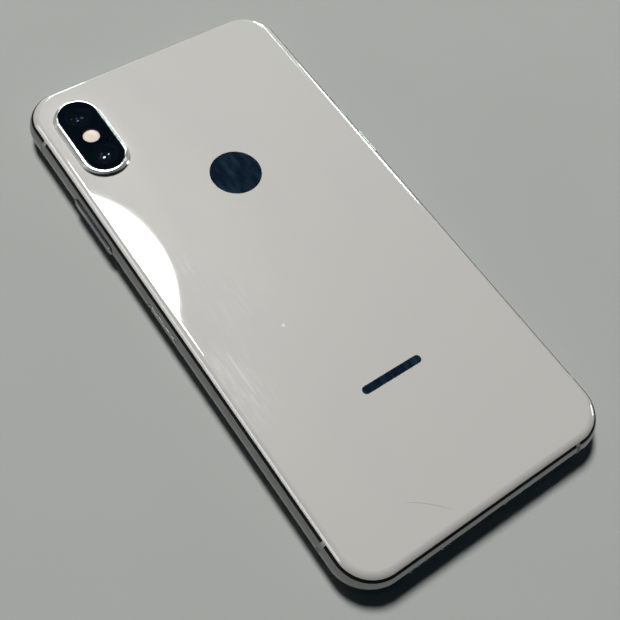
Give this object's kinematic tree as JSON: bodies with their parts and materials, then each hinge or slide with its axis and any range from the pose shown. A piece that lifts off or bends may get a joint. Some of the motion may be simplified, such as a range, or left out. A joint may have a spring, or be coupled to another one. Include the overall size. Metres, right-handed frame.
{
  "type": "smartphone",
  "caption": "Smartphone with a glass back, a polished steel band, a raised twin camera, side buttons and a SIM tray, lying on its screen.",
  "frame": {"origin": "on the resting plane, under the middle of the phone, with the screen facing down", "axes": "+Z out of the glass back, +Y towards the phone's top end, -X towards the long side with the side button and the SIM tray"},
  "size_m": [0.0716, 0.1436, 0.0089],
  "materials": {
    "polished_steel": "polished stainless steel",
    "satin_steel": "satin",
    "back_glass": "glossy glass over a warm silver layer",
    "black_glass": "glossy",
    "lens_glass": "coated lens",
    "antenna_plastic": "satin",
    "black_plastic": "matte",
    "seal_rubber": "matte",
    "circuit_board": "solder mask",
    "copper": "satin",
    "battery_wrap": "matte",
    "flash_lens": "translucent",
    "tungsten": "sintered"
  },
  "bodies": {
    "phone": {"cover_glass": "black_glass", "earpiece_mesh": "satin_steel", "display_gasket": "seal_rubber", "display_frame": "black_plastic", "display_panel": "black_glass", "display_shield_plate": "satin_steel", "earpiece_speaker": "black_plastic", "front_camera": "satin_steel", "infrared_camera": "satin_steel", "dot_projector": "satin_steel", "sensor_bracket": "satin_steel", "band_left_rail": "polished_steel", "band_right_rail": "polished_steel", "band_top": "polished_steel", "band_corner_top_left": "polished_steel", "band_bottom": "polished_steel", "band_corner_bottom_right": "polished_steel", "antenna_break_left_top": "antenna_plastic", "antenna_break_left_bottom": "antenna_plastic", "antenna_break_right_top": "antenna_plastic", "antenna_break_right_bottom": "antenna_plastic", "antenna_break_top_edge": "antenna_plastic", "antenna_break_bottom_edge": "antenna_plastic", "bottom_screw_left": "satin_steel", "bottom_screw_right": "satin_steel", "back_glass": "back_glass", "chassis_plate": "satin_steel", "charging_coil": "copper", "camera_ring": "polished_steel", "camera_window": "black_glass", "wide_camera_housing": "satin_steel", "tele_camera_housing": "satin_steel", "flash_unit": "flash_lens", "rear_microphone": "satin_steel", "camera_bracket": "satin_steel", "logic_board_main": "circuit_board", "logic_board_spacer": "circuit_board", "logic_board_radio": "circuit_board", "board_shield": "satin_steel", "battery": "battery_wrap", "sim_reader": "satin_steel", "side_button_flex": "black_plastic", "volume_flex": "black_plastic", "loudspeaker": "black_plastic", "haptic_case": "satin_steel", "charging_port": "satin_steel"},
    "side_button": {"side_button": "polished_steel"},
    "volume_up_button": {"volume_up_button": "polished_steel"},
    "volume_down_button": {"volume_down_button": "polished_steel"},
    "ring_switch": {"ring_switch": "polished_steel"},
    "sim_tray": {"sim_tray": "polished_steel"},
    "sim_eject_rod": {"sim_eject_rod": "satin_steel"},
    "sim_eject_lever": {"sim_eject_lever": "satin_steel"},
    "wide_shift_frame": {"wide_shift_frame": "black_plastic"},
    "wide_lens_carrier": {"wide_lens_carrier": "black_plastic"},
    "wide_lens": {"wide_lens": "lens_glass"},
    "tele_shift_frame": {"tele_shift_frame": "black_plastic"},
    "tele_lens_carrier": {"tele_lens_carrier": "black_plastic"},
    "tele_lens": {"tele_lens": "lens_glass"},
    "haptic_mass": {"haptic_mass": "tungsten"}
  },
  "joints": [
    {"name": "side_button_press", "type": "slide", "parent": "phone", "child": "side_button", "axis": [1, 0, 0], "range_m": [0, 0.0003], "stiffness_N_per_m": 4000, "springref_m": -0.0001},
    {"name": "volume_up_press", "type": "slide", "parent": "phone", "child": "volume_up_button", "axis": [-1, 0, 0], "range_m": [0, 0.0003], "stiffness_N_per_m": 4000, "springref_m": -0.0001},
    {"name": "volume_down_press", "type": "slide", "parent": "phone", "child": "volume_down_button", "axis": [-1, 0, 0], "range_m": [0, 0.0003], "stiffness_N_per_m": 4000, "springref_m": -0.0001},
    {"name": "ring_switch_slide", "type": "slide", "parent": "phone", "child": "ring_switch", "axis": [0, 0, 1], "range_m": [0, 0.0016]},
    {"name": "sim_tray_slide", "type": "slide", "parent": "phone", "child": "sim_tray", "axis": [-1, 0, 0], "range_m": [0, 0.016]},
    {"name": "sim_eject_push", "type": "slide", "parent": "phone", "child": "sim_eject_rod", "axis": [1, 0, 0], "range_m": [0, 0.0006]},
    {"name": "sim_eject_turn", "type": "hinge", "parent": "phone", "child": "sim_eject_lever", "pos_m": [-0.0192, 0.0052, 0.00385], "axis": [0, 0, -1], "range_deg": [0, 18.1]},
    {"name": "wide_shift_x", "type": "slide", "parent": "phone", "child": "wide_shift_frame", "axis": [1, 0, 0], "range_m": [-0.00015, 0.00015], "stiffness_N_per_m": 300},
    {"name": "wide_shift_y", "type": "slide", "parent": "wide_shift_frame", "child": "wide_lens_carrier", "axis": [0, 1, 0], "range_m": [-0.00015, 0.00015], "stiffness_N_per_m": 300},
    {"name": "wide_focus", "type": "slide", "parent": "wide_lens_carrier", "child": "wide_lens", "axis": [0, 0, 1], "range_m": [0, 0.0003], "stiffness_N_per_m": 200, "springref_m": -0.00005},
    {"name": "tele_shift_x", "type": "slide", "parent": "phone", "child": "tele_shift_frame", "axis": [1, 0, 0], "range_m": [-0.00015, 0.00015], "stiffness_N_per_m": 300},
    {"name": "tele_shift_y", "type": "slide", "parent": "tele_shift_frame", "child": "tele_lens_carrier", "axis": [0, 1, 0], "range_m": [-0.00015, 0.00015], "stiffness_N_per_m": 300},
    {"name": "tele_focus", "type": "slide", "parent": "tele_lens_carrier", "child": "tele_lens", "axis": [0, 0, 1], "range_m": [0, 0.0003], "stiffness_N_per_m": 200, "springref_m": -0.00005},
    {"name": "haptic_slide", "type": "slide", "parent": "phone", "child": "haptic_mass", "axis": [1, 0, 0], "range_m": [-0.0005, 0.0005], "stiffness_N_per_m": 4300}
  ],
  "couplings": [
    {"joint": "sim_eject_turn", "follows": "sim_eject_push", "rad_per_m": 526}
  ]
}
